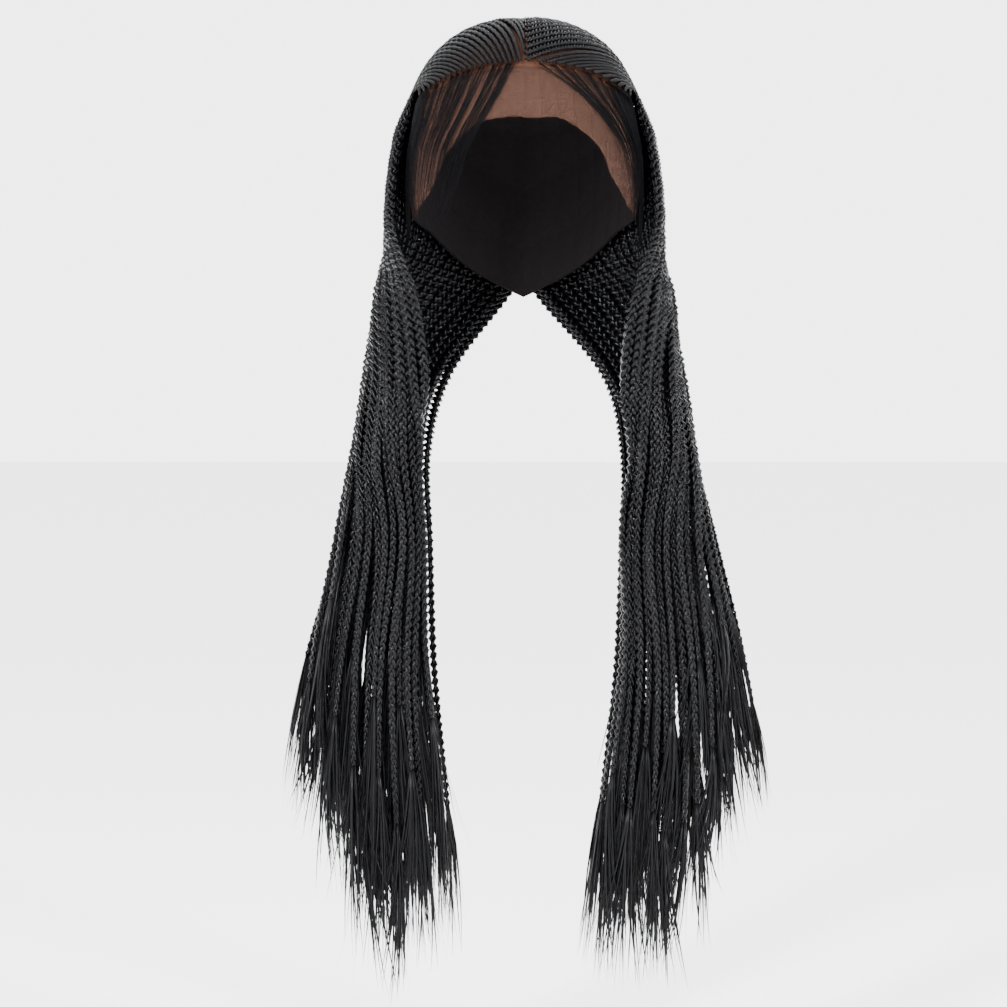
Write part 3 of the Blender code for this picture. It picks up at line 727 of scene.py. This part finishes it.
# %% [markdown]
# ### All plaits of the wig
# A plait is cut in two where it leaves the head, and each part joins the piece it belongs to.

# %% Make the plaits
# The part on the head and the hanging part overlap by a step, so that no gap shows
ON_HEAD, HANGING = slice(0, STEPS_ON_HEAD + 3), slice(STEPS_ON_HEAD + 2, None)
for side, made in plaits.items():
    groups = {"cornrow": [], "side": [], "back": []}
    for index, share in enumerate(made["share"]):
        run = running_length(made["path"][index])
        root = "hairline" if share < FRONT_ROW_SHARE[side] else "parting"
        form = made["path"][index], made["outward"][index], *plait_form(run, made["pitch"][index], root)
        if index < ROWS_PER_SIDE:
            groups["cornrow"].append(plait(*(x[ON_HEAD] for x in form), STRAND_SIDES["cornrow"]))
        name = "side" if share < EAR_SHARE else "back"
        groups[name].append(plait(*(x[HANGING] for x in form), STRAND_SIDES[name]))
    for group, node_name in (("cornrow", "cornrows_"), ("side", "side_braids_"), ("back", "back_braids_")):
        piece = mesh_piece(group + "_plaits_" + side, groups[group], plait_fibre)
        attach(piece, "root")
        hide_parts(node_name + side)

# %% [markdown]
# ## Tassels
# Below its tie each braid is left loose: straight fibre in pointed locks of uneven length,
# which spread as they fall. Broad tapering locks give the mass, fine ones the ragged ends.

# %% Sizes of a tassel
LOCK = dict(count=16, half_width=0.0013, half_depth=0.0008, sides=4, shortest=0.55)
FINE = dict(count=18, half_width=0.00024, half_depth=0.00024, sides=3, shortest=0.45)
TASSEL_STEPS, TASSEL_SPREAD, TASSEL_FLATNESS = 8, 0.0085, 0.62
REACH_POWER, SPREAD_POWER, SPREAD_AT_TIE, SPREAD_RANGE = 1.3, 1.8, 0.16, (0.55, 1.1)
BEND, LEAN_ALL, LEAN_EACH, LEAN_LENGTH = 0.0012, 0.05, 0.04, 0.12
BEND_PHASES, FACING_RANGE, SIZE_RANGE = 6.3, 0.7, (0.7, 1.15)
# A strand thickens from its tie at this rate, and narrows to a point with this power
START_SIZE, THICKENING, POINT_POWER, POINT_SIZE = 0.5, 3, 1.5, 0.02
TASSEL_SEED = {"left": 31, "right": 32}
print("strands a tassel:", LOCK["count"] + FINE["count"])

# %% [markdown]
# ### One tassel
# All strands of a tassel are worked out at once, as one row of numbers for each strand.


# %% One tassel
def tassel(middle, side_way, out_way, dice, count, half_width, half_depth, sides, shortest):
    """Strands that start together and spread: centre + offset(t), the offset growing from
    SPREAD_AT_TIE to its full size, and each strand reaching from shortest to 1 of the way."""
    k = len(middle)
    t = np.linspace(0, 1, k)[None, :]
    reach = (1 - (1 - shortest) * dice.uniform(0, 1, count) ** REACH_POWER)[:, None] * t
    at = np.clip(reach * (k - 1), 0, k - 1)
    centre = np.stack([np.interp(at.ravel(), np.arange(k), middle[:, i]) for i in range(3)], axis=1)
    turn = dice.uniform(0, 2 * np.pi, count)
    radius = TASSEL_SPREAD * np.sqrt(dice.uniform(0, 1, count))
    spread = (1 - (1 - t) ** SPREAD_POWER) * dice.uniform(*SPREAD_RANGE, (count, 1))
    bend = BEND * np.sin(np.pi * t + dice.uniform(0, BEND_PHASES, (count, 1))) * t
    offset = radius[:, None] * (SPREAD_AT_TIE + (1 - SPREAD_AT_TIE) * spread)
    aside = offset * np.cos(turn)[:, None] + bend
    outwards = TASSEL_FLATNESS * offset * np.sin(turn)[:, None]
    lean = (dice.normal(0, LEAN_ALL) + dice.normal(0, LEAN_EACH, (count, 1))) * LEAN_LENGTH * t**2
    path = centre.reshape(count, k, 3) + side_way * (aside + lean)[..., None] + out_way * outwards[..., None]
    forward = unit(np.gradient(path, axis=1))
    facing = out_way + FACING_RANGE * side_way * dice.uniform(-1, 1, (count, 1, 1))
    out = square_to(facing, forward)
    taper = np.clip(START_SIZE + THICKENING * t, 0, 1)
    taper = taper * np.clip(1 + POINT_SIZE - t**POINT_POWER, POINT_SIZE, 1)
    size = dice.uniform(*SIZE_RANGE, (count, 1)) * taper
    return tubes(path, np.cross(out, forward), out, half_width * size, half_depth * size, sides)


# %% [markdown]
# ### Tassels on every braid
# A tassel goes on where its braid ends, along the same rings as the braid, so it is placed by
# the path's last point and not by a second set of numbers.

# %% Make the tassels
for side, made in plaits.items():
    dice = np.random.default_rng(TASSEL_SEED[side])
    groups = {"side": [], "back": []}
    way_down = np.linspace(0, 1, TASSEL_STEPS)[None]
    places = between(made["tie"][:, None], made["tip"][:, None], way_down)
    below = mirrored(hanging_point(made["rings"], places), side)
    for index, share in enumerate(made["share"]):
        end, out_way = made["path"][index][-1], made["outward"][index][-1]
        middle = below[index] - below[index][0] + end
        side_way = unit(np.cross(out_way, np.array([0.0, 0.0, -1.0])))
        name = "side" if share < EAR_SHARE else "back"
        for kind in (LOCK, FINE):
            groups[name].append(tassel(middle, side_way, out_way, dice, **kind))
    for group, node_name in (("side", "side_braids_"), ("back", "back_braids_")):
        piece = mesh_piece(group + "_tassels_" + side, groups[group], loose_fibre)
        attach(piece, "root")
        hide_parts(node_name + side)

# %% [markdown]
# ## Hairline hair
# Along the hairline loose hair is knotted into the lace, one hair at a time, and combed down
# to the temples. It is sheer over the brow and dense before the ear. Hairs gather into wisps
# on the way down, which is what gives the streaks.

# %% Sizes of the hairline hair
EDGE_ROOT, EDGE_ROOT_INSET, EDGE_LIFT = (4, 75), 0.0012, 0.0060
# Rows run from the root to the tip: azimuth and polar angle of the innermost strand, then of
# the outermost, then the lift
EDGE_SWEEP = {
    "left": (
        (13, 70, 75, 80, 0.15),
        (24, 86, 79, 90, 0.30),
        (35, 99, 79, 100, 0.55),
        (46, 110, 75, 112, 1.0),
    ),
    "right": (
        (22, 63, 75, 80, 0.15),
        (38, 76, 79, 90, 0.30),
        (52, 89, 79, 100, 0.55),
        (61, 106, 75, 114, 1.0),
    ),
}
EDGE_HAIR_STEPS, EDGE_HAIR_HALF, EDGE_HAIR_SIZES = 10, 0.00012, (0.7, 1.3)
EDGE_HAIRS = {"left": 110, "right": 80}
EDGE_WISPS = {"left": 17, "right": 10}
WISP_STRANDS, WISP_HALF, WISP_JITTER, WISP_WIDTH = 5, 0.00026, (0.1, 0.9), 0.008
TEMPLE_HAIRS, TEMPLE_CROWDING = {"left": 240, "right": 420}, 0.8
TEMPLE_FROM = {"left": 0.82, "right": 0.66}
GATHER_POWER, TEMPLE_GATHER, GATHER_SPEED = 0.35, 0.3, 1.8
SHORTEST_HAIR, STRAY_DEGREES, HAIR_LAYER, LAYER_AT_ROOT = 0.6, 1.1, 0.0014, 0.3
TIP_SIZE, SMALL_LIFT, EDGE_SEED = 0.03, 0.001, {"left": 51, "right": 52}
# The step from the cap down to the lace lies this far along the sweep
STEP_DOWN_AT, STEP_DOWN_SPEED = 0.15, 2


# %% [markdown]
# ### Roots and sweep of the hairs
# The sweep is a table of angles from root to tip. Each hair takes its share of it, and that
# share moves towards the nearest wisp on the way down.


# %% Hairs of one side
def edge_roots(side, dice):
    """Share along the hairline of each hair's root and of its wisp, and how far it is gathered."""
    wisps = (np.arange(EDGE_WISPS[side]) + dice.uniform(*WISP_JITTER, EDGE_WISPS[side])) / EDGE_WISPS[side]
    sheer = dice.uniform(0, 1, EDGE_HAIRS[side])
    crowded = dice.uniform(0, 1, TEMPLE_HAIRS[side]) ** TEMPLE_CROWDING
    dense = TEMPLE_FROM[side] + (1 - TEMPLE_FROM[side]) * crowded
    strong = np.repeat(wisps, WISP_STRANDS) + dice.normal(0, WISP_WIDTH, WISP_STRANDS * len(wisps))
    root = np.clip(np.concatenate([sheer, dense, strong]), 0, 1)
    home = wisps[np.abs(root[:, None] - wisps[None]).argmin(axis=1)]
    loose = dice.uniform(0, 1, len(root)) ** GATHER_POWER
    gather = np.where(np.arange(len(root)) < EDGE_HAIRS[side], loose, TEMPLE_GATHER)
    return root[:, None], home[:, None], gather[:, None], len(strong)


def swept(side, share, place):
    """Azimuth, polar angle and lift at place along the sweep, for hairs at share of its width."""
    azimuth = between(*EDGE_ROOT, share)
    polar = edge_polar(azimuth, "cap") - degrees_for(EDGE_ROOT_INSET)
    stations = [np.stack([azimuth, polar, 0 * azimuth])]
    for in_azimuth, in_polar, out_azimuth, out_polar, lift in EDGE_SWEEP[side]:
        angles = between(in_azimuth, out_azimuth, share), between(in_polar, out_polar, share)
        stations.append(np.stack([*angles, lift + 0 * share]))
    stations = np.stack(stations)
    slopes = np.gradient(stations, axis=0)
    low = np.minimum(place.astype(int), len(EDGE_SWEEP[side]) - 1)
    hair, step = np.ogrid[: share.shape[0], : share.shape[1]]
    ends = []
    for index in (low, low + 1):
        for table in (stations, slopes):
            ends.append(np.stack([table[index, kind, hair, step] for kind in range(3)]))
    return cubic(place - low, *ends)


def edge_hair(side):
    """Hairs from the root on the hairline, pulled towards a wisp on the way down."""
    dice = np.random.default_rng(EDGE_SEED[side])
    root, home, gather, wisp_hairs = edge_roots(side, dice)
    count, spans = len(root), len(EDGE_SWEEP[side])
    t = np.linspace(0, 1, EDGE_HAIR_STEPS)[None, :]
    share = root + (home - root) * gather * np.clip(t * GATHER_SPEED, 0, 1)
    place = t * dice.uniform(SHORTEST_HAIR, 1.0, (count, 1)) * spans
    azimuth, polar, lift = swept(side, share, place)
    azimuth = azimuth + dice.normal(0, STRAY_DEGREES, (count, 1)) * t
    on_cap = np.clip(1 - (t * spans - STEP_DOWN_AT) * STEP_DOWN_SPEED, 0, 1)
    seat = LACE_WALL + CLEARANCE + (CAP_WALL - LACE_WALL + CLEARANCE) * on_cap
    height = seat + dice.uniform(0, HAIR_LAYER, (count, 1)) * (LAYER_AT_ROOT + t) + lift * EDGE_LIFT
    path = mirrored(head_point(azimuth, polar, height), side)
    forward = unit(np.gradient(path, axis=1))
    above = mirrored(head_point(azimuth, polar, height + SMALL_LIFT), side)
    out = square_to(above - path, forward)
    point = np.clip(1 + TIP_SIZE - t**3, TIP_SIZE, 1)
    size = dice.uniform(*EDGE_HAIR_SIZES, (count, 1)) * point * EDGE_HAIR_HALF
    size[-wisp_hairs:] *= WISP_HALF / EDGE_HAIR_HALF
    return tubes(path, np.cross(out, forward), out, size, size, 3)


# %% [markdown]
# ### Hairline pieces
# Single hairs would be too many, so each strand here stands for a few, and the sheer finish
# has almost no gloss, because a wide highlight would give the strand's real width away.

# %% Make the hairline hair
for side in SIDES:
    piece = mesh_piece("hairline_hair_" + side, [edge_hair(side)], sheer_fibre)
    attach(piece, "root")
    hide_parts("edge_hair_" + side)

# %% [markdown]
# ## Lace front
# The hairline is knotted into Swiss lace: a sheer brown net with holes under a millimetre,
# cut by hand along the brow. It is one sheet on the head's own surface, and the holes are
# in the material, because half a million of them would not show as more.

# %% Make the lace
LACE_ALONG, LACE_DOWN, LACE_THICKNESS, LACE_HALF_TURN = 121, 15, 0.0003, 90
LACE_LEAST_DEPTH, RAGGED_FADE = 0.001, 10
RAGGED_WAVES = ((0.30, 0.31, 0), (0.16, 1.1, 1), (0.07, 2.9, 0))  # degrees deep, rate, shift
lace_azimuth = np.linspace(-LACE_HALF_TURN, LACE_HALF_TURN, LACE_ALONG)
lace_top = edge_polar(lace_azimuth, "cap")
lace_top = lace_top + degrees_for(CLEARANCE) * (1 + np.abs(lace_azimuth) / LACE_HALF_TURN)
lace_low = np.maximum(edge_polar(lace_azimuth, "lace"), lace_top + degrees_for(LACE_LEAST_DEPTH))
ragged = sum(size * np.sin(lace_azimuth * rate + shift) for size, rate, shift in RAGGED_WAVES)
lace_low = lace_low + ragged * covered(lace_low - lace_top, RAGGED_FADE)
down = np.linspace(0, 1, LACE_DOWN)[:, None]
lace_points = head_point(lace_azimuth[None], between(lace_top[None], lace_low[None], down), CLEARANCE)
grid = np.arange(LACE_ALONG * LACE_DOWN).reshape(LACE_DOWN, LACE_ALONG)
lace_faces = np.stack([grid[:-1, :-1], grid[1:, :-1], grid[1:, 1:], grid[:-1, 1:]], -1).reshape(-1, 4)
lace_mesh = bpy.data.meshes.new("lace_net_front")
lace_mesh.from_pydata(lace_points.reshape(-1, 3).tolist(), [], lace_faces.tolist())
lace_mesh.polygons.foreach_set("use_smooth", np.ones(len(lace_faces), dtype=bool))

# %% [markdown]
# ### Sheer brown net
# A thread is nearly opaque and a hole nearly clear. The distance to the nearest thread of a
# fine net of cells gives both, as the sheet's transparency.

# %% Finish of the lace, and its place in the wig
LACE_CELLS_A_METRE, THREAD_EDGE, LACE_OPACITY = 900.0, (0.03, 0.14), (0.55, 0.05)
lace_finish, tree, shader = new_finish("swiss_lace_net", 0.8, 0.05, "#4b352c")
place = node(tree, "ShaderNodeTexCoord").outputs["Object"]
opacity = mapped(tree, net_threads(tree, place, LACE_CELLS_A_METRE), THREAD_EDGE, LACE_OPACITY)
tree.links.new(opacity, shader.inputs["Alpha"])
lace_mesh.materials.append(lace_finish)
lace = add_object("lace_net_front", lace_mesh)
wall = lace.modifiers.new("wall", "SOLIDIFY")
wall.thickness, wall.offset = LACE_THICKNESS, 1.0
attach(lace, "root")
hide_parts("lace_front")

# %% [markdown]
# ## Cap
# The cap is black stretch net. Along the hairline and the parting its top is brown lace, which
# shows between the rows as if it were scalp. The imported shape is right, so it gets a finish.

# %% Finish of the cap
CAP_CELLS_A_METRE, CAP_RELIEF = 700.0, 0.5
SCALP_FADE = (-0.030, -0.052)  # y of the first and the last of the change from black to brown
cap_finish, tree, shader = new_finish("stretch_net_cap", 0.85, 0.03, "#110f10")
place = node(tree, "ShaderNodeTexCoord").outputs["Object"]
parts = node(tree, "ShaderNodeSeparateXYZ", links={"Vector": place})
front = mapped(tree, parts.outputs["Y"], SCALP_FADE, (0.0, 1.0))
tone = node(tree, "ShaderNodeMix", {"data_type": "RGBA"}, {"Factor": front})
tone.inputs[6].default_value, tone.inputs[7].default_value = linear("#131112"), linear("#3b261d")
tree.links.new(tone.outputs[2], shader.inputs["Base Color"])
add_relief(tree, shader, CAP_RELIEF, net_threads(tree, place, CAP_CELLS_A_METRE))
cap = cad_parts["wig_cap"]
cap.data.materials.clear()
cap.data.materials.append(cap_finish)
print("cap finish:", cap_finish.name)

# %% [markdown]
# ## Studio
# A pale floor and a world of white light, brightest behind and overhead, which draws the
# outline of black hair. Two tall narrow lamps in front, a stronger one on the left, put a
# fine sheen on the strands. Broad lamps would turn the hair grey.

# %% Floor
FLOOR_LEVEL, FLOOR_HALF_WIDTH, FLOOR_FRONT, FLOOR_BACK = -0.76, 6, -4, 8
floor_corners = [
    (-FLOOR_HALF_WIDTH, FLOOR_FRONT, FLOOR_LEVEL),
    (FLOOR_HALF_WIDTH, FLOOR_FRONT, FLOOR_LEVEL),
    (FLOOR_HALF_WIDTH, FLOOR_BACK, FLOOR_LEVEL),
    (-FLOOR_HALF_WIDTH, FLOOR_BACK, FLOOR_LEVEL),
]
floor_mesh = bpy.data.meshes.new("studio_floor")
floor_mesh.from_pydata(floor_corners, [], [(0, 1, 2, 3)])
floor = add_object("studio_floor", floor_mesh)
floor_mesh.materials.append(new_finish("matt_white_paper", 0.95, 0.1, "#f4f4f4")[0])
print("floor at", FLOOR_LEVEL, "m")

# %% [markdown]
# ### World and lamps
# The world's strength depends on the direction alone, in two smooth ramps that are added up.

# %% World and lamps
# Each glow: the range of the direction's part, then the range of strength
BACK_GLOW, TOP_GLOW = ((0.0, -0.85), (0.4, 4.5)), ((-0.6, -1.0), (0.0, 7.5))
LAMP_WIDTH, LAMP_HEIGHT = 0.24, 1.6
LAMPS = (
    dict(name="key", place=(-1.1, -1.8, 0.6), aim=(0.0, 0.0, -0.30), watts=165),
    dict(name="fill", place=(1.4, -1.6, 0.4), aim=(0.0, 0.0, -0.35), watts=110),
)


def strip_lamp(name, place, aim, watts):
    """A tall narrow lamp at place, turned to shine on aim."""
    data = bpy.data.lights.new(name, "AREA")
    data.shape, data.size, data.size_y, data.energy = "RECTANGLE", LAMP_WIDTH, LAMP_HEIGHT, watts
    lamp = add_object(name, data)
    way = np.array(aim) - np.array(place)
    tilt, turn = math.atan2(math.hypot(way[0], way[1]), -way[2]), math.atan2(way[1], way[0]) - math.pi / 2
    lamp.location = place
    lamp.rotation_euler = (tilt, 0.0, turn)
    print(name, watts, "W")


world = bpy.data.worlds.new("studio_world")
bpy.context.scene.world = world
world.use_nodes = True
tree = world.node_tree
ray = node(tree, "ShaderNodeNewGeometry")
way = node(tree, "ShaderNodeSeparateXYZ", links={"Vector": ray.outputs["Incoming"]})
glow = node(tree, "ShaderNodeMath", {"operation": "ADD"})
for index, (part, ranges) in enumerate((("Y", BACK_GLOW), ("Z", TOP_GLOW))):
    tree.links.new(mapped(tree, way.outputs[part], *ranges), glow.inputs[index])
tree.nodes["Background"].inputs["Color"].default_value = (1.0, 1.0, 1.0, 1.0)
tree.links.new(glow.outputs["Value"], tree.nodes["Background"].inputs["Strength"])
for lamp in LAMPS:
    strip_lamp(**lamp)
